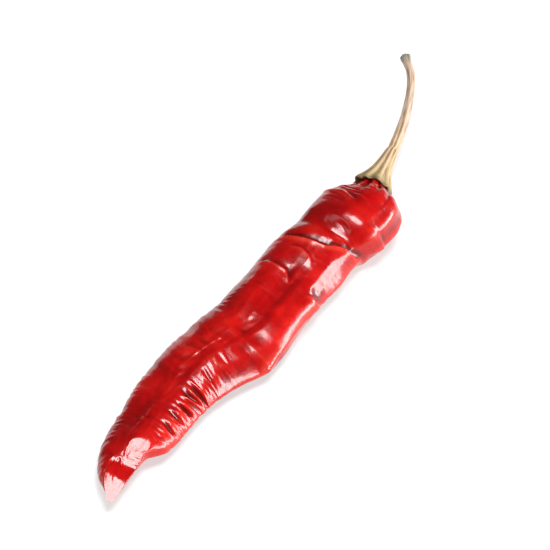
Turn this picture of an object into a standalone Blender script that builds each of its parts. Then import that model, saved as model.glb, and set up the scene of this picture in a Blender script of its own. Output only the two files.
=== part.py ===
"""Dried chilli pepper: a collapsed, creased pod with its calyx and stem, lying on its side.

Each piece is a sheet rolled round a route: rings of points along it, closed at both ends. The shapes are
worked out in millimetres and scaled to metres as they are placed. +Z is up, the pod runs along X with its
tip towards -X, and the origin is on the surface that it rests on, under the middle of the whole chilli.
"""

import math

import bmesh
import bpy
import numpy as np
from mathutils import Matrix, Vector

MM = 0.001
WELD = 1e-7  # joins the sheet's two long edges and closes its ends, in metres

# Driving dimensions, in millimetres.
POD_WIDTH = 14.4  # the flattened pod's widest section
POD_THICKNESS = 9.6  # the same section from its underside to its top
NECK_RADIUS = 2.75  # the pod where the calyx sits
NECK_DEPTH = 1.9  # from the neck's rim to the pod's end
STEM_RADIUS = 1.02  # at the calyx; the stem thins away from it
GAP = 0.32  # between pieces that touch
FLAT_DEPTH = 0.3  # how much of the rounded underside is pressed flat where the pod rests
TIP_ROUND = 1.6  # over this length the pod's tip closes
CREASES_FADE = 2.6  # over this length the pod's creases fade out and it narrows to its neck

# The middle of the pod, from its tip to its neck, and of the stem: x, y, z.
POD_ROUTE = [
    (0.0, 0.0, 4.9),
    (7.6, 3.9, 3.6),
    (14.5, 5.1, 3.2),
    (23.0, 6.3, 3.3),
    (31.7, 6.1, 3.7),
    (39.8, 4.5, 4.1),
    (51.2, 5.2, 4.3),
    (62.0, 6.0, 4.7),
    (67.7, 5.3, 5.0),
    (74.6, 4.9, 5.4),
    (82.2, 6.9, 6.3),
]
STEM_BENDS = [  # from the calyx's narrow end: forwards, to the left, and up
    (0.0, 0.0, 0.0),
    (1.2, 0.03, 0.02),
    (4.6, 0.25, 0.2),
    (11.4, 1.2, 0.9),
    (15.8, 2.5, 1.4),
    (18.9, 4.5, 1.6),
    (19.8, 7.4, 1.4),
]

# The pod's section along its length: distance from the tip as a share of the length, then the half width
# and the heights above and below the middle as shares of the widest section's, and the roll in degrees.
POD_SECTIONS = [
    (0.00, 0.28, 0.30, 0.26, -16),
    (0.05, 0.44, 0.40, 0.34, -14),
    (0.10, 0.56, 0.50, 0.42, -9),
    (0.19, 0.69, 0.62, 0.54, -4),
    (0.33, 0.83, 0.80, 0.70, 0),
    (0.48, 0.99, 0.95, 0.82, 4),
    (0.62, 0.97, 1.00, 0.88, 6),
    (0.75, 0.97, 1.04, 0.96, 7),
    (0.87, 1.00, 1.14, 1.06, 6),
    (0.93, 0.84, 1.02, 0.98, 3),
    (0.97, 0.55, 0.72, 0.74, 0),
    (1.00, 0.38, 0.56, 0.58, 0),
]

# Ridges along the pod: angle round it, first and last share of the length, height, and width in degrees.
RIDGES = [
    (188, 0.08, 0.68, 1.00, 15),
    (6, 0.04, 0.50, 0.55, 15),
    (62, 0.50, 0.78, 0.35, 14),
    (232, 0.16, 0.84, 0.50, 16),
    (306, 0.20, 0.86, 0.50, 16),
]
# Hollows and swellings: share of the length, angle, reach along, reach round in degrees, and depth.
HOLLOWS = [
    (0.38, 118, 9.5, 34, 0.95),
    (0.22, 70, 8.0, 26, 0.50),
    (0.66, 100, 7.5, 30, 0.70),
    (0.50, 268, 26.0, 20, 1.25),
    (0.61, 4, 5.0, 28, 0.20),
    (0.57, 184, 4.2, 24, 0.50),
    (0.80, 180, 3.0, 20, 0.75),
    (0.79, 20, 3.6, 24, 0.30),
    (0.94, 62, 3.4, 22, 0.50),
    (0.95, 250, 3.5, 24, 0.40),
    (0.48, 190, 3.4, 22, -0.65),
    (0.49, 8, 3.4, 22, -0.40),
    (0.72, 190, 4.4, 26, -0.60),
    (0.91, 196, 3.8, 34, -0.80),
    (0.90, 20, 4.2, 28, -0.85),
    (0.89, 110, 4.2, 26, -0.60),
]
# Folds across the pod: share of the length, middle angle, reach round in degrees, lean, width and depth.
FOLDS = [
    (0.485, 95, 64, -2.0, 1.9, 0.55),
    (0.80, 95, 68, 1.5, 1.6, 1.20),
    (0.095, 110, 70, 0.8, 1.5, 0.50),
    (0.40, 30, 36, -1.2, 1.6, 0.35),
    (0.33, 215, 40, 1.0, 1.6, 0.35),
    (0.70, 300, 40, 1.4, 1.7, 0.40),
]

# The calyx's outside: distance from the pod's end, then radius, from the rim to the stem.
CALYX_OUTSIDE = [
    (-2.0, 3.45),
    (-1.5, 3.33),
    (-0.8, 3.08),
    (0.1, 2.70),
    (1.2, 2.27),
    (2.6, 1.88),
    (4.4, 1.54),
    (6.6, 1.27),
    (8.8, 1.12),
]
CALYX_TEETH = 5
TOOTH_HEIGHT = 0.35
CALYX_RIBS = 10
RIB_HEIGHT = 0.13
RIB_HEIGHT_AT_STEM = 0.35  # as a share of that

STEM_WAIST = 0.74  # the stem's thinnest part, as a share of its radius at the calyx
STEM_KNOB = 1.15  # its broken end, the same
KNOB_LENGTH = 1.3

DOME_RINGS = 6  # each rounded end's rings, on top of those below
POD_RINGS = 86
POD_SIDES = 36
CALYX_RINGS = 14
CALYX_SIDES = 40
STEM_RINGS = 26
STEM_SIDES = 12

COLOURS = {  # linear colour and roughness
    "pod": ((0.42, 0.008, 0.006), 0.28),
    "calyx": ((0.42, 0.34, 0.13), 0.75),
    "stem": ((0.58, 0.42, 0.19), 0.70),
}


class Track:
    """Values that change smoothly along a line. Each row gives a distance, then the values there."""

    def __init__(self, rows):
        self.knots = np.array([row[0] for row in rows], float)
        self.values = np.array([row[1:] for row in rows], float)
        self.slopes = np.gradient(self.values, self.knots, axis=0)

    def __call__(self, distance):
        last = len(self.knots) - 2
        i = int(np.clip(np.searchsorted(self.knots, distance) - 1, 0, last))
        gap = self.knots[i + 1] - self.knots[i]
        t = (distance - self.knots[i]) / gap
        start, end = self.values[i], self.values[i + 1]
        rise, fall = self.slopes[i] * gap, self.slopes[i + 1] * gap
        blend = t * t * (3 - 2 * t)
        return start + (end - start) * blend + rise * t * (1 - t) ** 2 - fall * t * t * (1 - t)


class Route(Track):
    """A smooth line through points. Its distances are measured from the first point."""

    STEP = 0.05

    def __init__(self, points):
        points = np.array(points, float)
        gaps = np.linalg.norm(np.diff(points, axis=0), axis=1)
        distances = np.concatenate([[0.0], np.cumsum(gaps)])
        super().__init__([(d, *p) for d, p in zip(distances, points)])
        self.length = float(distances[-1])

    def frame(self, distance):
        """The line's point there, and its forward, left and up directions."""
        ahead = self(min(distance + self.STEP, self.length))
        behind = self(max(distance - self.STEP, 0.0))
        forward = Vector(ahead - behind).normalized()
        left = Vector((0, 0, 1)).cross(forward).normalized()
        return Vector(self(distance)), forward, left, forward.cross(left)


def near(value, middle, reach):
    """1 at the middle, falling smoothly to almost nothing at about twice the reach."""
    return math.exp(-(((value - middle) / reach) ** 2))


def turned(angle, middle):
    """How far one angle is round from another, from -180 to 180 degrees."""
    return (angle - middle + 180) % 360 - 180


def ramp(value, start, end):
    """0 before the start and 1 after the end, smoothly."""
    t = min(max((value - start) / (end - start), 0.0), 1.0)
    return t * t * (3 - 2 * t)


def rolled_sheet(name, rings, sides, place):
    """An object whose surface is place(ring, degrees) for every ring, with its seam and ends welded."""
    mesh = bmesh.new()
    bmesh.ops.create_grid(mesh, x_segments=len(rings) - 1, y_segments=sides, size=0.5)
    for vert in mesh.verts:
        ring = rings[round((vert.co.x + 0.5) * (len(rings) - 1))]
        vert.co = place(ring, 360 * (vert.co.y + 0.5)) * MM
    bmesh.ops.remove_doubles(mesh, verts=mesh.verts, dist=WELD)
    bmesh.ops.recalc_face_normals(mesh, faces=mesh.faces)
    data = bpy.data.meshes.new(name)
    mesh.to_mesh(data)
    mesh.free()
    data.shade_smooth()
    piece = bpy.data.objects.new(name, data)
    bpy.context.scene.collection.objects.link(piece)
    return piece


pod_route = Route(POD_ROUTE)
pod_section = Track([(share * pod_route.length, *values) for share, *values in POD_SECTIONS])
calyx_outside = Track(CALYX_OUTSIDE)


def rounding(distance, length):
    """How wide a rounded end is at a distance from it, as a share of its full width."""
    return math.sqrt(1 - (1 - min(distance / length, 1.0)) ** 2)


def dome_steps(length):
    """Distances from a rounded end, evenly round its quarter circle, up to just short of its full width."""
    return [length * (1 - math.cos(math.pi / 2 * step / DOME_RINGS)) for step in range(DOME_RINGS)]


def round_point(frame, radius, angle):
    """A point at an angle on a circle across a route."""
    middle, _, left, up = frame
    turn = math.radians(angle)
    return middle + (left * math.cos(turn) + up * math.sin(turn)) * radius


def relief(distance, angle):
    """How far the collapsed skin stands out from the plain section, in millimetres."""
    along = distance / pod_route.length
    height = 0.0
    for middle, start, end, rise, width in RIDGES:
        ends = ramp(along, start, start + 0.12) * (1 - ramp(along, end - 0.12, end))
        height += rise * ends * near(turned(angle, middle), 0, width)
    for share, middle, reach, spread, depth in HOLLOWS:
        from_middle = distance - share * pod_route.length
        height -= depth * near(from_middle, 0, reach) * near(turned(angle, middle), 0, spread)
    for share, middle, reach, lean, width, depth in FOLDS:
        round_from = turned(angle, middle)
        line = share * pod_route.length + lean * round_from / reach
        groove = near(distance, line, width) - 0.45 * near(distance, line + 2 * width, width)
        height -= depth * groove * near(round_from, 0, reach)
    return height


def pod_point(distance, angle):
    """The pod's skin. Angle 0 is its left side, 90 its top, and 180 the sharp edge on its right."""
    middle, _, left, up = pod_route.frame(distance)
    width, top, bottom, roll = pod_section(distance)
    to_end = pod_route.length - distance
    sideways, upwards = math.cos(math.radians(angle)), math.sin(math.radians(angle))
    half_width = POD_WIDTH / 2 * width
    half_height = POD_THICKNESS / 2 * (top if upwards > 0 else bottom)
    outward = Vector((sideways / half_width, upwards / half_height)).normalized()
    free = ramp(to_end, NECK_DEPTH, NECK_DEPTH + CREASES_FADE) * ramp(distance, 0.0, 3 * TIP_ROUND)
    edge = Vector((sideways * half_width, upwards * half_height))
    edge += outward * relief(distance, angle) * free
    edge = Matrix.Rotation(math.radians(roll), 2) @ edge
    neck = Vector((sideways, upwards)) * NECK_RADIUS
    edge = neck.lerp(edge, ramp(to_end, NECK_DEPTH, NECK_DEPTH + CREASES_FADE))
    edge *= rounding(distance, TIP_ROUND) * rounding(to_end, NECK_DEPTH)
    return middle + left * edge.x + up * edge.y


def make_pod():
    """The pod, pressed flat where it rests. Its rings crowd together at both ends."""
    length = pod_route.length
    body = np.linspace(TIP_ROUND, length - NECK_DEPTH, POD_RINGS)
    neck = [length - step for step in reversed(dome_steps(NECK_DEPTH))]
    return rolled_sheet("pod", [*dome_steps(TIP_ROUND), *body, *neck], POD_SIDES, pod_point)


def neck_frame(height):
    """The neck's middle at a height above the pod's end, and its forward, left and up directions."""
    middle, forward, left, up = pod_route.frame(pod_route.length + min(height, 0.0))
    return middle + forward * max(height, 0.0), forward, left, up


def tooth_dip(angle):
    """How much lower the calyx's rim hangs at its teeth than on average."""
    return TOOTH_HEIGHT * math.cos(math.radians(CALYX_TEETH * angle))


def calyx_outer_point(height, angle):
    """The calyx's ribbed outside."""
    rim, top = CALYX_OUTSIDE[0][0], CALYX_OUTSIDE[-1][0]
    flare = ramp(-height, -top, 0.0)
    rib = RIB_HEIGHT * (RIB_HEIGHT_AT_STEM + (1 - RIB_HEIGHT_AT_STEM) * flare)
    radius = float(calyx_outside(height)[0]) + rib * math.cos(math.radians(CALYX_RIBS * angle))
    dip = tooth_dip(angle) * ramp(-height, -top / 3, -rim)
    return round_point(neck_frame(height - dip), radius, angle)


def calyx_inner_point(height, angle):
    """The calyx's underside: the pod's own neck, a gap away."""
    middle, forward, _, _ = neck_frame(height)
    if height == 0:
        return middle + forward * GAP
    skin = pod_point(pod_route.length + height, angle)
    slope = math.acos(max(1 + height / NECK_DEPTH, 0.0))
    outward = (skin - middle).normalized() * math.sin(slope) + forward * math.cos(slope)
    return skin + outward * GAP


def make_calyx():
    """The calyx: its outside from the stem down to the rim, then its underside in to the middle."""
    rim, top = CALYX_OUTSIDE[0][0], CALYX_OUTSIDE[-1][0]
    outside = [("outside", height) for height in np.linspace(top, rim, CALYX_RINGS)]
    inside = [("inside", -depth) for depth in reversed(dome_steps(NECK_DEPTH))]

    def place(ring, angle):
        side, height = ring
        if side == "end":
            return neck_frame(height)[0]
        if side == "outside":
            return calyx_outer_point(height, angle)
        if side == "lip":
            return calyx_inner_point(height - tooth_dip(angle), angle)
        return calyx_inner_point(height, angle)

    return rolled_sheet("calyx", [("end", top), *outside, ("lip", -NECK_DEPTH), *inside], CALYX_SIDES, place)


def make_stem():
    """The stem: a tube that thins, bends aside and ends in a small knob."""
    start, forward, left, up = neck_frame(CALYX_OUTSIDE[-1][0] + GAP)
    route = Route([start + forward * ahead + left * aside + up * rise for ahead, aside, rise in STEM_BENDS])
    tube = [(distance, "skin") for distance in np.linspace(0, route.length, STEM_RINGS)]

    def place(ring, angle):
        distance, part = ring
        if part == "end":
            return route.frame(distance)[0]
        share = 1 - (1 - STEM_WAIST) * ramp(distance, 0, route.length * 2 / 3)
        share += (STEM_KNOB - STEM_WAIST) * near(distance, route.length, KNOB_LENGTH)
        return round_point(route.frame(distance), STEM_RADIUS * share, angle)

    return rolled_sheet("stem", [(0.0, "end"), *tube, (route.length, "end")], STEM_SIDES, place)


def press_flat(piece, depth):
    """Cuts the piece's underside off level, a little above its lowest point, and caps the cut."""
    mesh = bmesh.new()
    mesh.from_mesh(piece.data)
    level = min(vert.co.z for vert in mesh.verts) + depth
    every_part = mesh.verts[:] + mesh.edges[:] + mesh.faces[:]
    cut = bmesh.ops.bisect_plane(
        mesh, geom=every_part, dist=WELD, plane_co=(0, 0, level), plane_no=(0, 0, -1), clear_outer=True
    )
    edges = [item for item in cut["geom_cut"] if isinstance(item, bmesh.types.BMEdge)]
    bmesh.ops.holes_fill(mesh, edges=edges, sides=0)
    bmesh.ops.recalc_face_normals(mesh, faces=mesh.faces)
    mesh.to_mesh(piece.data)
    mesh.free()


def stand_on_origin(pieces):
    """Moves the pieces together, so that their underside's middle is at the origin."""
    corners = np.array([vert.co[:] for piece in pieces for vert in piece.data.vertices])
    low, high = corners.min(0), corners.max(0)
    for piece in pieces:
        piece.location = (-(low[0] + high[0]) / 2, -(low[1] + high[1]) / 2, -low[2])


def finish(piece, colour, roughness):
    """Gives the piece its material."""
    material = bpy.data.materials.new(piece.name)
    material.use_nodes = True
    shader = material.node_tree.nodes["Principled BSDF"]
    shader.inputs["Base Color"].default_value = (*colour, 1)
    shader.inputs["Roughness"].default_value = roughness
    material.diffuse_color = (*colour, 1)
    piece.data.materials.append(material)


def main():
    for old in list(bpy.data.objects):
        bpy.data.objects.remove(old)
    pieces = [make_pod(), make_calyx(), make_stem()]
    press_flat(pieces[0], FLAT_DEPTH * MM)
    stand_on_origin(pieces)
    for piece in pieces:
        finish(piece, *COLOURS[piece.name])


main()
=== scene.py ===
"""Dried chilli pepper: the finished look of its pod, calyx and stem.

Run it as a script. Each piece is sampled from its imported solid, so it lies where that solid lies, and then
gets the creases, ribs and skin of the real thing. Lengths are in millimetres and angles in degrees until a
piece is placed, and the stage is in metres. Along the pod a share of 0 is its tip and 1 its neck. Round it,
0 degrees is its left side (+Y), 90 its top, 180 its right side and 270 its underside.
"""

import math
from functools import cache

import bmesh
import bpy
import numpy as np
from bpy.props import FloatProperty, FloatVectorProperty, IntProperty, PointerProperty
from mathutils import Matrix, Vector, noise
from mathutils.bvhtree import BVHTree


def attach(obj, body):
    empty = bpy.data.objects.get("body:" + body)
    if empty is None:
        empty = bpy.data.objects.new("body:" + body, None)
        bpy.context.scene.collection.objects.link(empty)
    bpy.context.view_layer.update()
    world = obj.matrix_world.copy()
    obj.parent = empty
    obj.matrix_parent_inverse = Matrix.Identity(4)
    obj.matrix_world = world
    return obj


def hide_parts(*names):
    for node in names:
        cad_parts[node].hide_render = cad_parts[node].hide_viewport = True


bl_info = {
    "name": "Dried Chilli Pepper",
    "version": (1, 0, 0),
    "blender": (4, 5, 0),
    "location": "3D View > Sidebar > Chilli",
    "description": "Finishes a dried chilli's pod, calyx and stem round its packed solids",
    "category": "Object",
}

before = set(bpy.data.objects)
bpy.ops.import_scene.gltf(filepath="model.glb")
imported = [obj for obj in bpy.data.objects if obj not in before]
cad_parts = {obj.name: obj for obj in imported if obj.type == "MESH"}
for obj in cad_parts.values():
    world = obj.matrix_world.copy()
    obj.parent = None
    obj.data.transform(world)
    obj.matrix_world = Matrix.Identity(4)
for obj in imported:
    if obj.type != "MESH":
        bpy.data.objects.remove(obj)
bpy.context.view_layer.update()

MM = 0.001
WELD = 1e-7
TINY = 1e-9  # keeps a division by nothing from failing
UP = Vector((0, 0, 1))


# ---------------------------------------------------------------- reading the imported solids


TRACE_STEP = 0.8  # between the points of a middle line
LARGEST_SHIFT = 0.2  # that centring a point makes in one go


def solid_tree(name):
    """A node's welded surface in millimetres, for casting rays at."""
    mesh = bmesh.new()
    mesh.from_mesh(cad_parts[name].data)
    bmesh.ops.remove_doubles(mesh, verts=mesh.verts, dist=WELD)
    bmesh.ops.scale(mesh, vec=(1 / MM,) * 3, verts=mesh.verts)
    tree = BVHTree.FromBMesh(mesh)
    mesh.free()
    return tree


def node_corners(name):
    """A node's corners in millimetres."""
    return np.array([vert.co[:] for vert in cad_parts[name].data.vertices]) / MM


def across(heading):
    """The directions to the left of a heading and up from it."""
    left = UP.cross(heading).normalized()
    return left, heading.cross(left)


def centred(tree, point, heading):
    """The point moved towards halfway between the walls on both sides, and those above and below, twice."""
    for side in across(heading) * 2:
        near = tree.ray_cast(point, side)[0]
        far = tree.ray_cast(point, -side)[0]
        if near and far:
            shift = (near + far) / 2 - point
            point = point + shift * min(1, LARGEST_SHIFT / max(shift.length, TINY))
    return point


def middle_line(tree, start, heading):
    """Points along the middle of a long solid from a start inside it, and where its far end is."""
    points = [centred(tree, start, heading)]
    while True:
        end = tree.ray_cast(points[-1], heading)[0]
        if end is None or (end - points[-1]).length < 2 * TRACE_STEP:
            return points, end
        points.append(centred(tree, points[-1] + heading * TRACE_STEP, heading))
        latest = (points[-1] - points[max(len(points) - 4, 0)]).normalized()
        heading = (heading * 2 + latest).normalized()


class Route:
    """A smooth line through points, measured along it from the first."""

    def __init__(self, points, smoothing):
        points = np.array(points, float)
        for _ in range(smoothing):
            points[1:-1] = (points[:-2] + 2 * points[1:-1] + points[2:]) / 4
        gaps = np.linalg.norm(np.diff(points, axis=0), axis=1)
        self.marks = np.concatenate([[0.0], np.cumsum(gaps)])
        self.points = points
        self.slopes = np.gradient(points, self.marks, axis=0)
        self.length = float(self.marks[-1])

    def read(self, values, distance):
        """A value for each point, read off between them."""
        return Vector([np.interp(distance, self.marks, values[:, k]) for k in range(3)])

    def at(self, distance):
        """The line's point there, and its forward, left and up directions."""
        forward = self.read(self.slopes, distance).normalized()
        return self.read(self.points, distance), forward, *across(forward)


# ---------------------------------------------------------------- where the pieces run


RAY_START = 9  # from the calyx axis, outside it
AXIS_RAYS = 24
AXIS_ROUNDS = 3  # of working out the calyx axis from a better and better guess
TIP_BALL = 6  # the corners this near the tip give its heading
TIP_REACH = 1.7  # the tip's rays fan out from a point this far inside it
NECK_STRAIGHT = 4.5  # of the pod by the calyx, along the calyx axis
STEM_INSET = 0.4  # where the stem's middle line starts, past its root


def ring_of_hits(tree, middle, axis):
    """Where rays from all round, aimed at a point on an axis, first meet a solid."""
    left, up = across(axis)
    hits = []
    for turn in np.arange(AXIS_RAYS) * 2 * math.pi / AXIS_RAYS:
        outward = left * math.cos(turn) + up * math.sin(turn)
        hit = tree.ray_cast(middle + outward * RAY_START, -outward)[0]
        if hit:
            hits.append(hit)
    return hits


def calyx_axis(tree):
    """The calyx's direction, which leads to the stem, and the point on its axis at the stem's end."""
    corners = node_corners("calyx")
    middle = corners.mean(axis=0)
    axis = Vector(np.linalg.svd(corners - middle, full_matrices=False)[2][0])
    axis *= math.copysign(1, axis.x)
    middle = Vector(middle)
    for _ in range(AXIS_ROUNDS):
        heights = (corners - np.array(middle)) @ np.array(axis)
        ends = []
        for height in (heights.min() * 0.5, heights.max() * 0.9):
            hits = ring_of_hits(tree, middle + axis * height, axis)
            ends.append(sum(hits, Vector()) / len(hits))
        axis = (ends[1] - ends[0]).normalized()
        middle = ends[0]
    heights = (corners - np.array(middle)) @ np.array(axis)
    return axis, middle + axis * float(heights.max())


@cache
def find_routes():
    """The solids' surfaces, the calyx axis, and the middle lines of pod and stem towards the stem's end."""
    pod, calyx, stem = (solid_tree(name) for name in ("pod", "calyx", "stem"))
    axis, top = calyx_axis(calyx)
    neck = pod.ray_cast(top, -axis)[0]
    corners = node_corners("pod")
    tip = Vector(corners[corners[:, 0].argmin()])
    nearby = corners[np.linalg.norm(corners - np.array(tip), axis=1) < TIP_BALL]
    heading = (Vector(nearby.mean(axis=0)) - tip).normalized()
    points, _ = middle_line(pod, tip + heading * TIP_REACH, heading)
    behind = pod.ray_cast(points[0], (points[0] - points[2]).normalized())[0]
    points = [point for point in points if (neck - point).dot(axis) > NECK_STRAIGHT]
    pod_points = [behind, *points, neck - axis * NECK_STRAIGHT / 2, neck]
    root = stem.ray_cast(top - axis, axis)[0]
    points, end = middle_line(stem, root + axis * STEM_INSET, axis)
    return {
        "pod_tree": pod,
        "calyx_tree": calyx,
        "stem_tree": stem,
        "pod": Route(pod_points, smoothing=8),
        "stem": Route([root, *points, end], smoothing=2),
        "calyx_axis": axis,
        "calyx_top": top,
        "pod_end": neck,
    }


# ---------------------------------------------------------------- shapes in numbers


OCTAVE_OFFSET = 7.3  # keeps the octaves of a noise from lining up


def ramp(value, start, end):
    """0 before the start and 1 after the end, smoothly."""
    t = np.clip((value - start) / (end - start), 0, 1)
    return t * t * (3 - 2 * t)


def hump(value, middle, reach):
    """1 at the middle, falling smoothly to almost nothing at twice the reach."""
    return np.exp(-(((value - middle) / reach) ** 2))


def peak(offset, width):
    """Highest where the offset is 0, with a slightly rounded top, and falling away steeply on both sides."""
    return np.exp(-np.sqrt((offset / width) ** 2 + 0.04))


def positive(value, rounding):
    """The value where it is over 0, and 0 elsewhere, with a rounded corner between."""
    return value * 0.5 + np.sqrt(value**2 + rounding) * 0.5


def turned(angle, middle):
    """How far one angle is round from another, from -180 to 180."""
    return (angle - middle + 180) % 360 - 180


def softened(values, rows, columns):
    """The values blurred along and round a tube, by standard deviations in rows and columns."""
    for axis, spread in ((0, rows), (1, columns)):
        if spread > 0:
            reach = max(int(3 * spread), 1)
            weights = np.exp(-0.5 * (np.arange(-reach, reach + 1) / spread) ** 2)
            weights /= weights.sum()
            padding = [(reach, reach) if k == axis else (0, 0) for k in range(2)]
            padded = np.pad(values, padding, mode="wrap" if axis else "edge")
            count = values.shape[axis]
            values = sum(np.take(padded, range(k, k + count), axis) * w for k, w in enumerate(weights))
    return values


def grain(places, stretch, seed, octaves=1):
    """Blender's noise, about -1 to 1, with features as big as the stretch in each direction."""
    scaled = places / np.array(stretch) + seed
    flat = scaled.reshape(-1, 3)
    total = np.zeros(len(flat))
    for octave in range(octaves):
        spots = flat * 2**octave + OCTAVE_OFFSET * octave
        total += np.array([noise.noise(Vector(spot)) for spot in spots]) / 2**octave
    return total.reshape(scaled.shape[:-1])


def ridged(values, sharpness):
    """1 where the values cross zero, falling away on both sides. A smaller sharpness has thinner ridges."""
    return 1 - np.sqrt(values**2 + sharpness**2) * 2


# ---------------------------------------------------------------- making meshes


def rolled_sheet(name, places, shades):
    """An object: a grid of places rolled into a closed tube, with the shades as its crease attribute."""
    rows, columns = places.shape[:2]
    mesh = bmesh.new()
    mesh.loops.layers.uv.new("skin")
    shade = mesh.verts.layers.float.new("crease")
    bmesh.ops.create_grid(mesh, x_segments=rows - 1, y_segments=columns, size=0.5, calc_uvs=True)
    for vert in mesh.verts:
        row = round((vert.co.x + 0.5) * (rows - 1))
        column = round((vert.co.y + 0.5) * columns) % columns
        vert.co = Vector(places[row, column]) * MM
        vert[shade] = shades[row, column]
    bmesh.ops.remove_doubles(mesh, verts=mesh.verts, dist=WELD)
    bmesh.ops.recalc_face_normals(mesh, faces=mesh.faces)
    data = bpy.data.meshes.new(name)
    mesh.to_mesh(data)
    mesh.free()
    data.shade_smooth()
    piece = bpy.data.objects.new(name, data)
    bpy.context.scene.collection.objects.link(piece)
    return piece


def outward_normals(places):
    """The surface's outward directions, for places on a grid of rings from one end to the other."""
    along = np.gradient(places, axis=0)
    wrapped = np.concatenate([places[:, -1:], places, places[:, :1]], axis=1)
    around = wrapped[:, 2:] - wrapped[:, :-2]
    normals = np.cross(around, along)
    normals = normals / np.maximum(np.linalg.norm(normals, axis=2, keepdims=True), TINY)
    middles = places.mean(axis=1, keepdims=True)
    if np.sum(normals * (places - middles)) < 0:
        normals = -normals
    return normals


# ---------------------------------------------------------------- materials


STAIN = 0.1  # how far along the colours of calyx and stem wander


def new_material(name):
    """A material with its node tree and its shader."""
    material = bpy.data.materials.new(name)
    material.use_nodes = True
    return material, material.node_tree, material.node_tree.nodes["Principled BSDF"]


def node(tree, kind, **values):
    """A node with some of its settings and unlinked sockets set by name."""
    made = tree.nodes.new(kind)
    for key, value in values.items():
        if hasattr(made, key):
            setattr(made, key, value)
        else:
            made.inputs[key.replace("_", " ")].default_value = value
    return made


def colour_steps(tree, factor, steps):
    """A colour ramp driven by a socket. Each step is its position and its colour."""
    made = tree.nodes.new("ShaderNodeValToRGB")
    elements = made.color_ramp.elements
    while len(elements) < len(steps):
        elements.new(0.5)
    for element, (position, colour) in zip(elements, steps):
        element.position = position
        element.color = (*colour, 1)
    tree.links.new(factor, made.inputs["Fac"])
    return made.outputs["Color"]


def mixed(tree, factor, first, second, blend="MIX"):
    """Two colours mixed by a socket or a number. Each colour is a socket or three numbers."""
    made = node(tree, "ShaderNodeMix", data_type="RGBA", blend_type=blend)
    if isinstance(factor, bpy.types.NodeSocket):
        tree.links.new(factor, made.inputs["Factor"])
    else:
        made.inputs["Factor"].default_value = factor
    for name, colour in (("A", first), ("B", second)):
        socket = next(s for s in made.inputs if s.name == name and s.type == "RGBA")
        if isinstance(colour, bpy.types.NodeSocket):
            tree.links.new(colour, socket)
        else:
            socket.default_value = (*colour, 1)
    return next(s for s in made.outputs if s.type == "RGBA")


def straw_material(name, steps, roughness):
    """Dry stalk, painted darker in its grooves as shade. The steps are its colours at shares of the way along
    the piece.
    """
    material, tree, shader = new_material(name)
    links = tree.links
    split = node(tree, "ShaderNodeSeparateXYZ")
    links.new(node(tree, "ShaderNodeUVMap", uv_map="skin").outputs["UV"], split.inputs["Vector"])
    stain = node(tree, "ShaderNodeTexNoise", Scale=420.0, Detail=4.0)
    links.new(node(tree, "ShaderNodeTexCoord").outputs["Object"], stain.inputs["Vector"])
    along = node(tree, "ShaderNodeMath", operation="MULTIPLY_ADD")
    links.new(stain.outputs["Fac"], along.inputs[0])
    along.inputs[1].default_value = STAIN
    links.new(split.outputs["X"], along.inputs[2])
    steps = [(place + STAIN / 2, colour) for place, colour in steps]
    body = colour_steps(tree, along.outputs["Value"], steps)
    grooves = node(tree, "ShaderNodeAttribute", attribute_name="crease").outputs["Fac"]
    # Painted shade: the colour is multiplied darker in the grooves, the dents and the dips between the
    # fibres.
    painted_shade = colour_steps(tree, grooves, [(0.1, (0.42, 0.38, 0.30)), (0.55, (1.0, 1.0, 1.0))])
    links.new(mixed(tree, 1.0, body, painted_shade, "MULTIPLY"), shader.inputs["Base Color"])
    shader.inputs["Roughness"].default_value = roughness
    return material


# ---------------------------------------------------------------- the pod


POD_ROWS = 520
TIP_ROWS = 16
NECK_ROWS = 14
POD_COLUMNS = 176
NECK_REACH = 2.0  # the neck's rays fan out from a point this far inside it
SKIN_BLUR = (5.0, 3.2)  # rows and columns over which the solid's facets are smoothed away
GIRTH = 5.5  # the pod's mean radius, for patterns that run round it
LIP_RUN = 0.45  # how fast a fold's lip falls away behind
FOLD_WANDER = 0.005  # of a fold along the pod, as a share
EDGE_WANDER = 3  # of the sharp edge round the pod
SEAM_WANDER = 4  # of a seam round the pod
PUCKERS = 12  # round the neck
PUCKER_WANDER = 70 / 6  # of a pucker round the pod
POINT_REACH = 3.5  # of the tip that is drawn out to a point
POINT_SQUEEZE = 0.6  # how much narrower its end gets
POINT_SHIFT = (0.9, 0.8)  # how far its end goes out past the tip and to the right
FLAT_ROUNDING = 0.02  # how softly the flats meet the skin round them
TUCK_ROUNDING = 0.01
HOLLOW_BLUR = (6, 4)  # rows and columns against which a crease counts as deep
SHADE_PER_MM = 2.2  # of a crease's depth
# How high or deep the patterns that cover the skin are.
UNEVENNESS = 0.12
CRINKLES = 0.05
PUCKER_DEPTH = 0.42
FAINT_WRINKLES = (0.015, 0.05)  # across the pod: everywhere, and here and there besides
LONG_WRINKLES = (0.07, -0.05, 0.16)  # along it: everywhere, and what is added by the tip and by the neck
BENDS = (1.4, 0.4)  # how far a slow and a quick noise bend them along the pod

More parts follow.
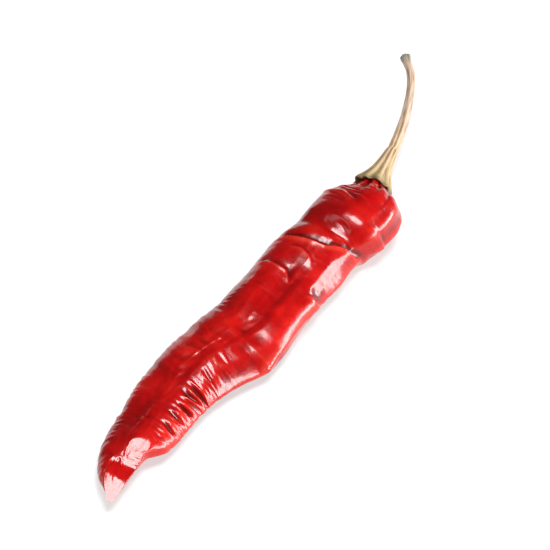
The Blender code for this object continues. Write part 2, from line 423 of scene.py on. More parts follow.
# Folds that cross the pod: points as (angle, share), then lip, rise, drop and run in millimetres.
FOLDS = [
    (
        [(20, 0.712), (55, 0.722), (100, 0.738), (125, 0.747), (150, 0.775), (190, 0.803)],
        0.36,
        0.8,
        0.80,
        0.75,
    ),
    ([(60, 0.694), (85, 0.702), (110, 0.700), (130, 0.690)], 0.16, 0.45, 0.18, 0.5),
    ([(25, 0.638), (55, 0.640), (90, 0.642), (115, 0.622)], 0.24, 0.5, 0.26, 0.6),
    ([(10, 0.475), (60, 0.462), (110, 0.455), (150, 0.460), (185, 0.465)], 0.10, 2.6, 0.03, 1.6),
    ([(10, 0.865), (50, 0.880), (90, 0.872)], 0.14, 0.9, 0.20, 0.7),
    ([(140, 0.852), (185, 0.864), (235, 0.890)], 0.08, 1.4, 0.22, 1.0),
    ([(155, 0.615), (190, 0.632), (240, 0.650)], 0.15, 1.6, 0.30, 1.3),
    ([(200, 0.345), (240, 0.335), (290, 0.325)], 0.20, 1.6, 0.35, 1.1),
    ([(250, 0.560), (300, 0.575), (350, 0.565)], 0.25, 1.6, 0.35, 1.2),
    ([(260, 0.685), (300, 0.670), (345, 0.680)], 0.25, 1.6, 0.40, 1.2),
    ([(220, 0.790), (270, 0.780), (340, 0.740)], 0.30, 1.6, 0.50, 1.2),
    ([(300, 0.180), (330, 0.190), (370, 0.180)], 0.16, 1.3, 0.22, 1.0),
]
# Flats pressed into the pod: share and angle of the middle, lean towards the tip, reach along and across, and
# depth.
FLATS = [
    (0.035, 106, 25, 7.0, 6.0, 1.05),
    (0.100, 106, 19, 3.8, 6.0, 0.25),
    (0.060, 190, 10, 5.0, 5.0, 0.50),
    (0.808, 114, 14, 1.2, 2.6, 0.08),
]
# Short ridges that run lengthwise: share and angle of each end, height and width.
SEAMS = [
    (0.330, 78, 0.440, 100, 0.16, 0.60),
    (0.560, 40, 0.660, 55, 0.16, 0.60),
    (0.140, 70, 0.240, 88, 0.14, 0.50),
    (0.500, 215, 0.720, 232, 0.25, 0.70),
    (0.200, 300, 0.480, 318, 0.30, 0.80),
    (0.520, 5, 0.760, -8, 0.30, 0.80),
    (0.830, 300, 0.940, 290, 0.25, 0.70),
    (0.850, 20, 0.950, 30, 0.20, 0.60),
]
# Broad swellings, or dents where the height is less than 0: share, angle, height, reach along as a share, and
# reach round.
SWELLINGS = [
    (0.370, 138, 1.00, 0.065, 35),
    (0.550, 112, -0.75, 0.075, 42),
    (0.705, 112, 0.40, 0.030, 35),
    (0.890, 157, 0.50, 0.050, 12),
]
# Patches of close cross wrinkles: share, angle, reach along as a share, reach round, and height.
WRINKLE_PATCHES = [
    (0.25, 160, 0.085, 20, 0.65),
    (0.38, 72, 0.055, 28, 0.24),
    (0.20, 60, 0.06, 34, 0.08),
    (0.91, 60, 0.05, 60, 0.12),
    (0.60, 285, 0.30, 45, 0.24),
    (0.30, 330, 0.20, 40, 0.24),
]
# The sharp edge down the pod's right side, at shares from the tip. From EDGE_START the skin swells towards it
# by a height. From a foot angle it turns up by so much for each degree squared, and before that angle it is
# hollowed by a depth. Past the edge's angle it falls away into an undercut.
EDGE_START = 125
EDGE_FALL = 4  # past the edge, in which the swelling falls away
UNDERCUT = (25, 14)  # how far past the edge it is deepest, and its reach
EDGE = [
    # share, edge angle, foot angle, swelling, turn up, hollow, undercut
    (0.040, 184, 176, 0.00, 0.0000, 0.00, 0.0),
    (0.140, 184, 176, 0.30, 0.0030, 0.00, 1.0),
    (0.250, 184, 177, 0.25, 0.0030, 0.00, 1.0),
    (0.320, 186, 178, 0.25, 0.0032, 0.00, 1.0),
    (0.380, 188, 180, 0.25, 0.0032, 0.00, 1.0),
    (0.445, 189, 181, 0.45, 0.0030, 0.00, 1.0),
    (0.465, 188, 181, 0.80, 0.0020, 0.00, 1.0),
    (0.490, 182, 177, 0.60, 0.0000, 0.00, 1.0),
    (0.625, 182, 172, 0.60, 0.0000, 0.00, 1.0),
    (0.650, 188, 168, 0.10, 0.0013, 0.25, 1.1),
    (0.720, 187, 168, 0.10, 0.0013, 0.20, 1.1),
    (0.785, 186, 170, 0.05, 0.0010, 0.08, 1.0),
    (0.820, 186, 172, 0.00, 0.0000, 0.00, 0.0),
    (0.860, 186, 176, 0.30, 0.0010, 0.00, 0.6),
    (0.910, 186, 176, 0.30, 0.0010, 0.00, 0.6),
    (0.950, 186, 176, 0.00, 0.0000, 0.00, 0.0),
]
# How far from the calyx axis the skin may reach, at heights over the pod's end: it has to fit under the rim.
TUCK = [(-7.0, 9.8), (-4.2, 5.8), (-3.2, 4.3), (-2.4, 3.15), (-1.7, 2.85), (0.5, 2.6)]


def sampled_skin(tree, route):
    """The pod solid's skin as rings of places, fanned out at both ends, with each place's share and angle."""
    angles = np.arange(POD_COLUMNS) * 360 / POD_COLUMNS
    tip_turns = np.linspace(0, 90, TIP_ROWS, endpoint=False)
    neck_turns = np.linspace(90, 180, NECK_ROWS + 1)[1:]
    body = np.linspace(TIP_REACH, route.length - NECK_REACH, POD_ROWS)
    rings = [(TIP_REACH, turn) for turn in tip_turns]
    rings += [(distance, 90.0) for distance in body]
    rings += [(route.length - NECK_REACH, turn) for turn in neck_turns]
    origins, rays, reaches = [], [], []
    for distance, turn in rings:
        middle, forward, left, up = route.at(distance)
        lean = -math.cos(math.radians(turn))
        spread = math.sin(math.radians(turn))
        for angle in angles:
            outward = left * math.cos(math.radians(angle)) + up * math.sin(math.radians(angle))
            ray = (outward * spread + forward * lean).normalized()
            hit = tree.ray_cast(middle, ray)
            origins.append(middle[:])
            rays.append(ray[:])
            reaches.append(hit[3] if hit[0] else 0.0)
    shape = (len(rings), POD_COLUMNS)
    reaches = softened(np.array(reaches).reshape(shape), *SKIN_BLUR)
    origins, rays = (np.array(values).reshape(*shape, 3) for values in (origins, rays))
    leans = np.array([-math.cos(math.radians(turn)) for _, turn in rings])
    marks = np.array([distance for distance, _ in rings]) + leans * reaches.mean(axis=1)
    shares = np.repeat(marks[:, None] / route.length, POD_COLUMNS, axis=1)
    return origins + rays * reaches[..., None], shares, np.repeat(angles[None, :], len(rings), axis=0)


def fold_line(share, angle, length, points, lip, rise, drop, run):
    """A fold across the skin: a sharp lip along a line of (angle, share) points, and a valley behind it.

    The skin starts to rise so far before the lip. Where the run ends, the valley is as deep as the drop.
    """
    turns, line = np.array(points).T
    middle = (turns[0] + turns[-1]) / 2
    reach = (turns[-1] - turns[0]) / 2
    off_middle = turned(angle, middle)
    off = (share - np.interp(off_middle + middle, turns, line)) * length
    fade = 1 - ramp(np.abs(off_middle) / reach, 0.7, 1.15)
    behind = np.maximum(off, 0)
    crest = np.where(off < 0, peak(np.minimum(off, 0), rise), peak(behind, LIP_RUN))
    valley = behind / run * np.exp(1 - behind / run)
    return fade * (lip * crest - drop * valley)


def seam_line(shares, angles, start, start_angle, end, end_angle, height, width):
    """A short ridge that runs lengthwise, from one share and angle to another."""
    t = (shares - start) / (end - start)
    off = np.radians(turned(angles, start_angle + (end_angle - start_angle) * t)) * GIRTH
    return height * peak(off, width) * ramp(t, -0.15, 0.3) * (1 - ramp(t, 0.7, 1.15))


def right_edge(shares, angles):
    """How far the skin stands in or out to form the sharp edge down the pod's right side."""
    marks, *columns = np.array(EDGE).T
    edge, foot, swelling, curl, hollow, undercut = (np.interp(shares, marks, column) for column in columns)
    before = np.minimum(angles, edge)
    risen = swelling * np.clip((before - EDGE_START) / (edge - EDGE_START), 0, 1)
    bowl = curl * (before - foot) ** 2
    risen += np.where(before < foot, np.minimum(bowl, hollow), bowl) - hollow
    past = np.maximum(angles - edge, 0)
    return risen * np.exp(-past / EDGE_FALL) - undercut * hump(past, *UNDERCUT) * (past > 0)


def cross_wrinkles(shares, angles, skin, bent):
    """Close wrinkles across the pod, deep in their patches and faint elsewhere."""
    everywhere, in_places = FAINT_WRINKLES
    depths = everywhere + in_places * ramp(grain(skin, (11, 5, 5), 12.3), -0.1, 0.35)
    for share, angle, reach, spread, height in WRINKLE_PATCHES:
        depths += height * hump(shares, share, reach) * hump(turned(angles, angle), 0, spread)
    return depths * (ridged(grain(bent, (1.25, 6.5, 6.5), 1.7), 0.04) - 0.55)


def long_wrinkles(shares, bent):
    """Wrinkles along the pod, fainter on the flats by its tip and deeper by its neck."""
    everywhere, by_tip, by_neck = LONG_WRINKLES
    depths = everywhere + by_tip * hump(shares, 0.09, 0.07) + by_neck * ramp(shares, 0.86, 0.95)
    return depths * (ridged(grain(bent, (16, 3.0, 3.0), 5.2), 0.05) - 0.5)


def puckers(shares, angles):
    """Gathers round the neck, where the calyx draws the skin in."""
    gathers = np.abs(np.cos(np.radians(PUCKERS / 2 * angles))) - 0.6
    return PUCKER_DEPTH * gathers * ramp(shares, 0.89, 0.97)


def wrinkled(shares, angles, length, depth):
    """How far the dried skin stands in or out from the smooth one."""
    turn = np.radians(angles)
    skin = np.stack([shares * length, GIRTH * np.cos(turn), GIRTH * np.sin(turn)], axis=-1)
    drift = grain(skin, (9, 6, 6), 3.1)
    slow, quick = BENDS
    bent = skin.copy()
    bent[..., 0] += slow * drift + quick * grain(skin, (3, 3, 3), 8.4)

    relief = cross_wrinkles(shares, angles, skin, bent) + long_wrinkles(shares, bent)
    relief += UNEVENNESS * grain(skin, (8, 5, 5), 2.6)
    relief += CRINKLES * (ridged(grain(bent, (2.2, 2.6, 2.6), 6.6), 0.05) - 0.5)
    relief += puckers(shares, angles + PUCKER_WANDER * drift)
    relief += right_edge(shares, angles + EDGE_WANDER * drift)
    for points, lip, rise, drop, run in FOLDS:
        relief += fold_line(shares + FOLD_WANDER * drift, angles, length, points, lip, rise, drop, run)
    for seam in SEAMS:
        relief += seam_line(shares, angles - SEAM_WANDER * drift, *seam)
    for share, angle, height, reach, spread in SWELLINGS:
        relief += height * hump(shares, share, reach) * hump(turned(angles, angle), 0, spread)
    away_from_ends = ramp(shares, 0.012, 0.04) * (1 - ramp(shares, 0.98, 0.998))
    return relief * away_from_ends * depth


def pointed(places, route):
    """The skin with its tip drawn out to a point."""
    tip, forward, left, _ = (np.array(vector) for vector in route.at(0))
    along = (places - tip) @ forward
    pull = (1 - ramp(along, 0, POINT_REACH))[..., None]
    spokes = places - tip - along[..., None] * forward
    ahead, aside = POINT_SHIFT
    return places - spokes * POINT_SQUEEZE * pull - (forward * ahead + left * aside) * pull**2


def press_flats(places, shares, angles, route):
    """The skin with flats pressed into it, each where its middle's share and angle say."""
    for share, angle, lean, along, around, depth in FLATS:
        row = np.abs(shares[:, 0] - share).argmin()
        column = np.abs(turned(angles[0], angle)).argmin()
        offsets = places - places[row, column]
        _, forward, left, up = (np.array(vector) for vector in route.at(share * route.length))
        outward = left * math.cos(math.radians(angle)) + up * math.sin(math.radians(angle))
        sideways = np.cross(forward, outward)
        distance = np.sqrt((offsets @ forward / along) ** 2 + (offsets @ sideways / around) ** 2)
        outward = outward * math.cos(math.radians(lean)) - forward * math.sin(math.radians(lean))
        over = positive(offsets @ outward + depth, FLAT_ROUNDING)
        places = places - outward * (over * (1 - ramp(distance, 0.6, 1.4)))[..., None]
    return places


def tucked(places, end, axis):
    """The skin drawn in towards the calyx axis where the rim would cut through it."""
    offsets = places - np.array(end)
    heights = offsets @ np.array(axis)
    spokes = offsets - heights[..., None] * np.array(axis)
    radii = np.maximum(np.linalg.norm(spokes, axis=2), 0.01)
    over = positive(radii - np.interp(heights, *np.array(TUCK).T), TUCK_ROUNDING)
    return places - spokes * np.where(heights < TUCK[0][0], 0, over / radii)[..., None]


def build_pod(settings):
    """The pod's wrinkled skin, a closed sheet over its solid, with its deep creases as its shades."""
    routes = find_routes()
    route = routes["pod"]
    places, shares, angles = sampled_skin(routes["pod_tree"], route)
    places = press_flats(pointed(places, route), shares, angles, route)
    relief = wrinkled(shares, angles, route.length, settings.wrinkle_depth)
    places = places + outward_normals(places) * relief[..., None]
    places = tucked(places, routes["pod_end"], routes["calyx_axis"])
    places[0] = places[0].mean(axis=0)
    places[-1] = places[-1].mean(axis=0)
    places[..., 2] = np.maximum(places[..., 2], 0.0)
    # How deep each crease is. The material paints shade into the creases and a glow onto the wrinkle tops
    # from it.
    hollow = softened(relief, *HOLLOW_BLUR) - relief
    return rolled_sheet("pod_skin", places, np.clip(0.5 + hollow * SHADE_PER_MM, 0, 1))


def pod_material(settings):
    """Glossy dried skin: deep red, with painted shade in its creases and a painted orange glow on its wrinkle
    tops.
    """
    material, tree, shader = new_material("pod_skin")
    links = tree.links
    coords = node(tree, "ShaderNodeTexCoord").outputs["Object"]
    crease = node(tree, "ShaderNodeAttribute", attribute_name="crease").outputs["Fac"]

    blotches = node(tree, "ShaderNodeTexNoise", Scale=110.0, Detail=4.0, Roughness=0.6)
    links.new(coords, blotches.inputs["Vector"])
    body = colour_steps(
        tree,
        blotches.outputs["Fac"],
        [(0.32, settings.shadow_colour), (0.5, settings.skin_colour), (0.68, settings.bright_colour)],
    )
    # Painted glow: the tops of the wrinkles turn a lighter orange, as if light shone through the thin skin
    # there.
    ridge_glow = node(tree, "ShaderNodeMapRange", From_Min=0.44, From_Max=0.1, To_Min=0.0, To_Max=0.4)
    links.new(crease, ridge_glow.inputs["Value"])
    body = mixed(tree, ridge_glow.outputs["Result"], body, settings.ridge_glow_colour)
    # Painted shade: the colour is multiplied darker the deeper the crease.
    painted_shade = colour_steps(tree, crease, [(0.5, (1, 1, 1)), (0.95, (0.3, 0.2, 0.2))])
    links.new(mixed(tree, 1.0, body, painted_shade, "MULTIPLY"), shader.inputs["Base Color"])

    pores = node(tree, "ShaderNodeTexNoise", Scale=1500.0, Detail=5.0, Roughness=0.65)
    links.new(coords, pores.inputs["Vector"])
    bump = node(tree, "ShaderNodeBump", Strength=0.25, Distance=0.00012)
    links.new(pores.outputs["Fac"], bump.inputs["Height"])
    links.new(bump.outputs["Normal"], shader.inputs["Normal"])

    rough = node(tree, "ShaderNodeMapRange", From_Min=0.3, From_Max=0.7, To_Min=0.17, To_Max=0.30)
    links.new(blotches.outputs["Fac"], rough.inputs["Value"])
    links.new(rough.outputs["Result"], shader.inputs["Roughness"])
    shader.inputs["Specular IOR Level"].default_value = 0.35
    shader.inputs["Coat Weight"].default_value = 0.28
    shader.inputs["Coat Roughness"].default_value = 0.1
    return material


# ---------------------------------------------------------------- ribs and fibres


FIBRE = (3.5, 0.28, 0.28)  # how long a fibre is, and how wide on a tube of radius 1
DENT = (2.6, 1, 1)  # the same of a dent


def tube_grain(turn, along, stretch, seed, octaves=1):
    """Noise on a tube of radius 1 as a grid of values, about -1 to 1, with a row for each distance along."""
    around = np.broadcast_to(turn, (len(along), len(turn)))
    distances = np.broadcast_to(along[:, None], around.shape)
    places = np.stack([distances, np.cos(around), np.sin(around)], axis=-1)
    return grain(places, stretch, seed, octaves)


def rib_wave(turn, ribs):
    """Slightly uneven ribs, from -1 in the grooves to 1 on the ribs."""
    wave = np.cos(ribs * turn + 0.5 * np.sin(turn * 2 + 1))
    return np.abs(wave) ** 0.75 * np.sign(wave)


# ---------------------------------------------------------------- the calyx


CALYX_ROWS = 120
CALYX_COLUMNS = 160
CALYX_SAMPLES = 24  # heights at which the solid's radius is measured
LINING_ROWS = 10
CALYX_SINK = 0.5  # how far the calyx reaches into the stem
TAPER_RUN = 2.4  # in which it narrows towards the stem
TAPER = 0.4
# Heights along the calyx axis, over the pod's end.
RIM = -2.0
LOWEST_SAMPLE = -1.6
FLARE_START = -0.7
LINING_TOP = 0.3
RAGGED_START = 2.5
# Rings that turn the rim over: how far past it and how far in.
LIP = ((0.10, 0.03), (0.14, 0.14), (0.06, 0.28))
LINING_INSET = 0.5
RIB_HEIGHT = (0.07, 0.15)  # towards the stem, and how much more at the rim
FIBRE_HEIGHT = (0.03, 0.05)  # the same of the fibres


def outer_radius(tree, axis, middle):
    """The mean radius of a solid's outside round a point on its axis."""
    hits = ring_of_hits(tree, middle, axis)
    return float(np.mean([(hit - middle).length for hit in hits]))


def towards_rim(heights, start):
    """0 above a height and 1 at the rim, smoothly."""
    return ramp(-heights, -start, -RIM)


def lined(heights, reach, full):
    """Heights and reaches of the cap's sheet: its top, its outside, the rim turned over, and a lining."""
    rim, lip = heights[-1:], reach[-1:]
    rings = [(np.full(rim.shape, full), lip * 0), (heights, reach)]
    rings += [(rim - past, lip - inset) for past, inset in LIP]
    for t in np.linspace(0, 1, LINING_ROWS):
        rings.append((rim * (1 - t) + LINING_TOP * t, (lip - LINING_INSET) * (1 - t)))
    return (np.concatenate(values)[..., None] for values in zip(*rings))


def build_calyx(settings):
    """The ribbed cap with its flared, ragged rim, and with its ribs and fibres as its shades."""
    routes = find_routes()
    axis, end = routes["calyx_axis"], routes["pod_end"]
    full = (routes["calyx_top"] - end).dot(axis) + CALYX_SINK
    samples = np.linspace(LOWEST_SAMPLE, full - CALYX_SINK - 0.1, CALYX_SAMPLES)
    radii = [outer_radius(routes["calyx_tree"], axis, end + axis * float(height)) for height in samples]

    turn = np.arange(CALYX_COLUMNS) * 2 * math.pi / CALYX_COLUMNS
    heights = np.linspace(full, RIM, CALYX_ROWS)[:, None]
    ribs = rib_wave(turn, settings.ribs)
    streaks = tube_grain(turn, heights[:, 0], FIBRE, 4.4, octaves=3)
    reach = np.interp(heights, samples, radii) - TAPER * ramp(heights, full - TAPER_RUN, full)
    least, more = RIB_HEIGHT
    reach = reach + (least + more * towards_rim(heights, full * 0.75)) * ribs
    least, more = FIBRE_HEIGHT
    reach += (least + more * towards_rim(heights, full * 0.4)) * streaks
    reach += settings.flare / MM * towards_rim(heights, FLARE_START)
    ragged = 0.16 * np.cos(5 * turn + 0.6) + 0.14 * np.cos(3 * turn + 2.1) + 0.10 * np.cos(13 * turn)
    heights = heights - ragged * towards_rim(heights, RAGGED_START)

    heights, reach = lined(heights, reach, full)
    left, up = (np.array(direction) for direction in across(axis))
    outward = np.cos(turn)[:, None] * left + np.sin(turn)[:, None] * up
    places = np.array(end) + heights * np.array(axis) + reach * outward
    # Lower in the grooves and between the fibres, where the material paints shade.
    shades = np.zeros(places.shape[:2]) + 0.5 + 0.28 * ribs
    shades[1 : 1 + CALYX_ROWS] += 0.35 * streaks
    return rolled_sheet("calyx_cap", places, np.clip(shades, 0, 1))


def calyx_material(settings):
    """Dry ribbed cap: straw towards the stem, olive lower down, and a painted dark brown shadow along its
    rim.
    """
    steps = [
        (0.3, settings.straw_colour),
        (0.65, settings.tan_colour),
        (0.84, settings.olive_colour),
        # Painted shadow: dark brown along the rim and on its turned-in underside.
        (0.92, settings.rim_shadow_colour),
    ]
    return straw_material("calyx_cap", steps, roughness=0.55)


# ---------------------------------------------------------------- the stem


STEM_ROWS = 230
STEM_COLUMNS = 72
STEM_RAY_STEP = 9  # columns between the rays that measure the solid
STEM_BLUR = 6  # rows over which its radius is evened out
STEM_MARGINS = (0.3, 0.4)  # at its root and its end, where it isn't measured
STEM_SINK = 1.8  # how far the stem reaches into the calyx
SINK_TAPER = 0.25  # how much narrower it gets in there
TWIST = 0.06  # of its grooves, in radians per millimetre
RIBS_END = 5  # how far from the root the calyx's ribs have faded out
KNOB = 1.5  # the length of the stem's thicker end
# Shares of its radius.
RIB_SHARE = 0.07
GROOVE_SHARE = 0.06
FINE_GROOVE_SHARE = 0.03
FIBRE_SHARE = 0.07
DENT_SHARE = 0.10
KNOB_SHARE = 0.22
# Rings that close the broken end: share of its radius, and how far out.
SCAR = ((0.85, 0.14), (0.5, 0.02), (0, -0.12))


def stem_grooves(turn, along, ribs):
    """The grooves as shares of the radius: the calyx's ribs fade out, and other grooves twist on."""
    twist = turn + TWIST * along
    near = 1 - ramp(along, -1, RIBS_END)
    grooves = RIB_SHARE * near * rib_wave(turn, ribs)
    grooves = grooves + GROOVE_SHARE * (1 - near) * np.cos(5 * twist + 0.4)
    return grooves + FINE_GROOVE_SHARE * np.cos(8 * twist + 1.3)


def build_stem(settings):
    """The grooved stem with its broken end, and with its grooves, fibres and dents as its shades."""
    routes = find_routes()
    route, tree = routes["stem"], routes["stem_tree"]
    turn = np.arange(STEM_COLUMNS) * 2 * math.pi / STEM_COLUMNS
    distances = np.linspace(-STEM_SINK, route.length, STEM_ROWS)
    first, last = STEM_MARGINS[0], route.length - STEM_MARGINS[1]
    middles, spokes, reaches = [], [], []
    for distance in distances:
        held = min(max(distance, first), last)
        middle, forward, left, up = route.at(held)
        outward = np.cos(turn)[:, None] * np.array(left) + np.sin(turn)[:, None] * np.array(up)
        middles.append(np.array(middle + forward * (distance - held)))
        spokes.append(outward)
        reaches.append(np.mean([tree.ray_cast(middle, Vector(ray))[3] for ray in outward[::STEM_RAY_STEP]]))
    reaches = softened(np.array(reaches)[:, None], STEM_BLUR, 0)

    along = distances[:, None]
    grooves = stem_grooves(turn, along, settings.ribs)
    streaks = tube_grain(turn, distances, FIBRE, 9.1, octaves=3)
    dents = tube_grain(turn, distances, DENT, 1.9)
    knob = ramp(along, route.length - KNOB, route.length - KNOB * 0.4)
    reach = reaches * (1 + grooves + FIBRE_SHARE * streaks + DENT_SHARE * dents + KNOB_SHARE * knob)
    reach = reach - SINK_TAPER * ramp(-along, STEM_SINK - 0.8, STEM_SINK)
    places = np.array(middles)[:, None] + np.array(spokes) * reach[..., None]

    rim, forward = places[-1:], np.array(route.at(route.length)[1])
    centre = rim.mean(axis=1, keepdims=True)
    scar = [centre + (rim - centre) * size + forward * push for size, push in SCAR]
    buried = np.broadcast_to(places[:1].mean(axis=1, keepdims=True), rim.shape)
    places = np.concatenate([buried, places, *scar])
    # Lower in the grooves, the dents and between the fibres, where the material paints shade.
    shades = np.full(places.shape[:2], 0.5)
    shades[1 : 1 + STEM_ROWS] += 2.2 * grooves + 0.4 * streaks + 0.3 * dents
    return rolled_sheet("stem_stalk", places, np.clip(shades, 0, 1))


def stem_material(settings):
    """Dry stalk: straw, and grey-brown at its broken end."""
    steps = [
        (0.05, settings.root_colour),
        (0.4, settings.stalk_colour),
        (0.9, settings.stalk_colour),
        (0.95, settings.knob_colour),
    ]
    return straw_material("stem_stalk", steps, roughness=0.5)


# ---------------------------------------------------------------- the stage


LIGHT_DISTANCE = 0.5  # metres, as is all of the stage
# Panels that face the origin: name, turn from the camera's azimuth, elevation, width and height in metres,
# and watts.
LIGHTS = [
    ("right_panel", 88, 15, 0.54, 0.13, 3.9),
    ("edge_panel", 50, 15, 0.17, 0.07, 0.75),
    ("top_panel", 35, 78, 0.20, 0.20, 2.8),
    ("front_panel", -60, 40, 0.30, 0.30, 0.5),
]
LENS = 150  # its focal length in millimetres
CLIP_START = 0.01


def facing_back(azimuth, elevation):
    """The direction back to a viewer who looks at the chilli: 0 looks along +Y, and 90 along -X."""
    a, e = math.radians(azimuth), math.radians(elevation)
    return Vector((math.sin(a) * math.cos(e), -math.cos(a) * math.cos(e), math.sin(e)))


def lay_floor(settings):
    """A pale matt floor that glows a little."""
    mesh = bmesh.new()
    bmesh.ops.create_grid(mesh, x_segments=1, y_segments=1, size=settings.floor_size / 2)
    data = bpy.data.meshes.new("floor")
    mesh.to_mesh(data)
    mesh.free()
    floor = bpy.data.objects.new("floor", data)
    bpy.context.scene.collection.objects.link(floor)
    material, _, shader = new_material("floor")
    shader.inputs["Base Color"].default_value = (0.5, 0.5, 0.5, 1)
    shader.inputs["Roughness"].default_value = 0.8
    shader.inputs["Specular IOR Level"].default_value = 0.1
    shader.inputs["Emission Color"].default_value = (1, 1, 1, 1)
    shader.inputs["Emission Strength"].default_value = settings.floor_glow
    data.materials.append(material)


def surround(settings):
    """A white world, bright where the camera sees it and dim as a light."""
    world = bpy.data.worlds.new("studio")
    world.use_nodes = True
    tree = world.node_tree
    background = tree.nodes["Background"]
    background.inputs["Color"].default_value = (1, 1, 1, 1)
    seen = node(tree, "ShaderNodeLightPath").outputs["Is Camera Ray"]
    strength = node(tree, "ShaderNodeMapRange", To_Min=settings.ambience, To_Max=settings.backdrop)
    tree.links.new(seen, strength.inputs["Value"])
    tree.links.new(strength.outputs["Result"], background.inputs["Strength"])
    bpy.context.scene.world = world


def area_light(name, azimuth, elevation, width, height, watts):
    """A light panel that faces the origin from a direction."""
    light = bpy.data.lights.new(name, "AREA")
    light.shape = "RECTANGLE"
    light.size = width
    light.size_y = height
    light.energy = watts
    lamp = bpy.data.objects.new(name, light)
    back = facing_back(azimuth, elevation)
    lamp.location = back * LIGHT_DISTANCE
    lamp.rotation_euler = back.to_track_quat("Z", "Y").to_euler()
    bpy.context.scene.collection.objects.link(lamp)


def place_camera(settings, azimuth):
    """The camera, which looks at its target from a direction."""
    lens = bpy.data.cameras.new("camera")
    lens.lens = LENS
    lens.clip_start = CLIP_START
    camera = bpy.data.objects.new("camera", lens)
    back = facing_back(azimuth, math.degrees(settings.camera_elevation))
    camera.location = Vector(settings.target) + back * settings.camera_distance
    camera.rotation_euler = back.to_track_quat("Z", "Y").to_euler()
    bpy.context.scene.collection.objects.link(camera)
    bpy.context.scene.camera = camera


def build_stage(settings):
    """The floor, the world, the lights and the camera, with the lights turned along with the camera."""
    lay_floor(settings)
    surround(settings)
    azimuth = math.degrees(settings.camera_azimuth)
    for name, turn, *measures in LIGHTS:
        area_light(name, azimuth + turn, *measures)
    place_camera(settings, azimuth)
    bpy.context.scene.view_settings.view_transform = "Standard"


# ---------------------------------------------------------------- add-on


class PodSettings(bpy.types.PropertyGroup):
    """How creased and what colours the pod is."""

    wrinkle_depth: FloatProperty(
        name="Wrinkle depth",
        description="How deep the creases are, as a share of the usual",
        subtype="FACTOR",
        soft_max=2.0,
        default=1.0,
    )
    skin_colour: FloatVectorProperty(
        name="Skin", description="Most of the pod", subtype="COLOR", default=(0.31, 0.0008, 0.001)
    )
    bright_colour: FloatVectorProperty(
        name="Bright patches",
        description="Where the skin is thin",
        subtype="COLOR",
        default=(0.42, 0.004, 0.002),
    )
    shadow_colour: FloatVectorProperty(
        name="Dark patches",
        description="Where the skin is thick",
        subtype="COLOR",
        default=(0.19, 0.0004, 0.0008),
    )
    # A painted glow on the wrinkle tops, as if light shone through the thin skin.
    ridge_glow_colour: FloatVectorProperty(
        name="Ridges",
        description="On the tops of the wrinkles",
        subtype="COLOR",
        default=(0.60, 0.035, 0.015),
    )


class CalyxSettings(bpy.types.PropertyGroup):
    """The calyx's ribs, rim and colours."""

    ribs: IntProperty(name="Ribs", description="How many ribs run down the calyx", default=10)
    straw_colour: FloatVectorProperty(
        name="Straw", description="The narrow end", subtype="COLOR", default=(0.45, 0.31, 0.18)
    )
    tan_colour: FloatVectorProperty(
        name="Tan", description="The middle", subtype="COLOR", default=(0.43, 0.31, 0.17)
    )
    olive_colour: FloatVectorProperty(
        name="Olive", description="The rim", subtype="COLOR", default=(0.33, 0.25, 0.12)
    )
    # A painted dark shadow along the rim and under it.
    rim_shadow_colour: FloatVectorProperty(
        name="Edge", description="The edge of the rim", subtype="COLOR", default=(0.15, 0.09, 0.04)
    )
    flare: FloatProperty(
        name="Flare", description="How far the rim turns out", unit="LENGTH", precision=5, default=0.0003
    )


class StemSettings(bpy.types.PropertyGroup):
    """The stem's ribs and colours."""

    ribs: IntProperty(name="Ribs", description="How many ribs the stem has by the calyx", default=10)
    root_colour: FloatVectorProperty(
        name="Root", description="Next to the calyx", subtype="COLOR", default=(0.45, 0.31, 0.18)
    )
    stalk_colour: FloatVectorProperty(
        name="Stalk", description="Most of the stem", subtype="COLOR", default=(0.43, 0.31, 0.23)
    )
    knob_colour: FloatVectorProperty(
        name="Knob", description="The broken end", subtype="COLOR", default=(0.22, 0.20, 0.15)
    )


class StageSettings(bpy.types.PropertyGroup):
    """The floor, the surrounding light and the camera."""

    floor_size: FloatProperty(name="Floor", description="Side of the floor", default=4.0, unit="LENGTH")
    floor_glow: FloatProperty(
        name="Floor glow", description="The floor's own even brightness", subtype="FACTOR", default=0.42
    )
    backdrop: FloatProperty(
        name="Backdrop", description="Brightness behind the floor", subtype="FACTOR", default=0.9
    )
    ambience: FloatProperty(
        name="Ambience", description="Strength of the surrounding light", subtype="FACTOR", default=0.08
    )
    camera_azimuth: FloatProperty(
        name="Azimuth", description="The camera's turn", subtype="ANGLE", default=math.radians(-53.4)
    )
    camera_elevation: FloatProperty(
        name="Elevation", description="The camera's height", subtype="ANGLE", default=math.radians(45)
    )
    camera_distance: FloatProperty(name="Distance", description="To the camera", default=0.392, unit="LENGTH")
    target: FloatVectorProperty(
        name="Target", description="The point that the camera looks at", subtype="XYZ", default=(0, 0, 0.004)
    )


def finish_piece(piece, material, node_name):
    """The piece gets its material, rides on the chilli's one body and stands for its solid."""
    piece.data.materials.append(material)
    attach(piece, "root")
    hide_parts(node_name)


class CHILLI_OT_pod(bpy.types.Operator):
    """Build the pod's wrinkled skin round its solid"""

    bl_idname = "chilli.pod"
    bl_label = "Pod"

    def execute(self, context):
        settings = context.scene.chilli_pod
        finish_piece(build_pod(settings), pod_material(settings), "pod")
        return {"FINISHED"}


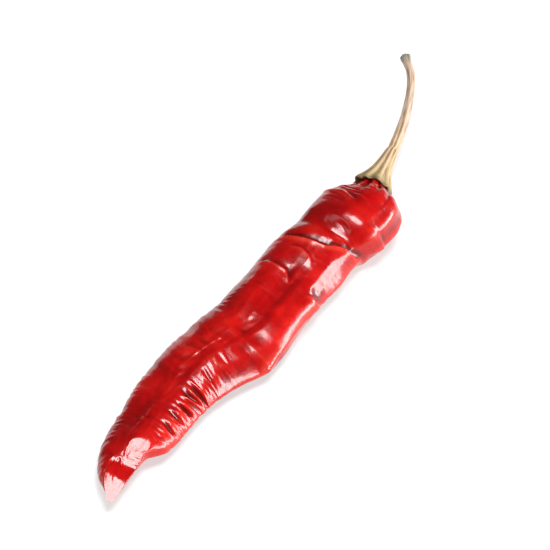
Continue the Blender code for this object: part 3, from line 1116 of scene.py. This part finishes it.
class CHILLI_OT_calyx(bpy.types.Operator):
    """Build the ribbed calyx round its solid"""

    bl_idname = "chilli.calyx"
    bl_label = "Calyx"

    def execute(self, context):
        settings = context.scene.chilli_calyx
        finish_piece(build_calyx(settings), calyx_material(settings), "calyx")
        return {"FINISHED"}


class CHILLI_OT_stem(bpy.types.Operator):
    """Build the grooved stem round its solid"""

    bl_idname = "chilli.stem"
    bl_label = "Stem"

    def execute(self, context):
        settings = context.scene.chilli_stem
        finish_piece(build_stem(settings), stem_material(settings), "stem")
        return {"FINISHED"}


class CHILLI_OT_stage(bpy.types.Operator):
    """Set out the floor, lights and camera"""

    bl_idname = "chilli.stage"
    bl_label = "Stage"

    def execute(self, context):
        build_stage(context.scene.chilli_stage)
        return {"FINISHED"}


class CHILLI_PT_panel(bpy.types.Panel):
    """The sidebar tab with each step and its settings"""

    bl_label = "Dried Chilli"
    bl_idname = "CHILLI_PT_panel"
    bl_space_type = "VIEW_3D"
    bl_region_type = "UI"
    bl_category = "Chilli"

    def draw(self, context):
        for operator, group in STEPS:
            box = self.layout.box()
            box.operator(operator)
            settings = getattr(context.scene, group)
            for name in settings.__annotations__:
                box.prop(settings, name)


STEPS = (
    ("chilli.pod", "chilli_pod"),
    ("chilli.calyx", "chilli_calyx"),
    ("chilli.stem", "chilli_stem"),
    ("chilli.stage", "chilli_stage"),
)
GROUPS = {
    "chilli_pod": PodSettings,
    "chilli_calyx": CalyxSettings,
    "chilli_stem": StemSettings,
    "chilli_stage": StageSettings,
}
CLASSES = (
    *GROUPS.values(),
    CHILLI_OT_pod,
    CHILLI_OT_calyx,
    CHILLI_OT_stem,
    CHILLI_OT_stage,
    CHILLI_PT_panel,
)


def register():
    """Add the classes, and the settings to the scene."""
    for item in CLASSES:
        bpy.utils.register_class(item)
    for name, group in GROUPS.items():
        setattr(bpy.types.Scene, name, PointerProperty(type=group))


def unregister():
    """Take them away again."""
    for name in GROUPS:
        delattr(bpy.types.Scene, name)
    for item in reversed(CLASSES):
        bpy.utils.unregister_class(item)


def main():
    """Build every piece and the stage."""
    register()
    bpy.ops.chilli.pod()
    bpy.ops.chilli.calyx()
    bpy.ops.chilli.stem()
    bpy.ops.chilli.stage()


if __name__ == "__main__":
    main()
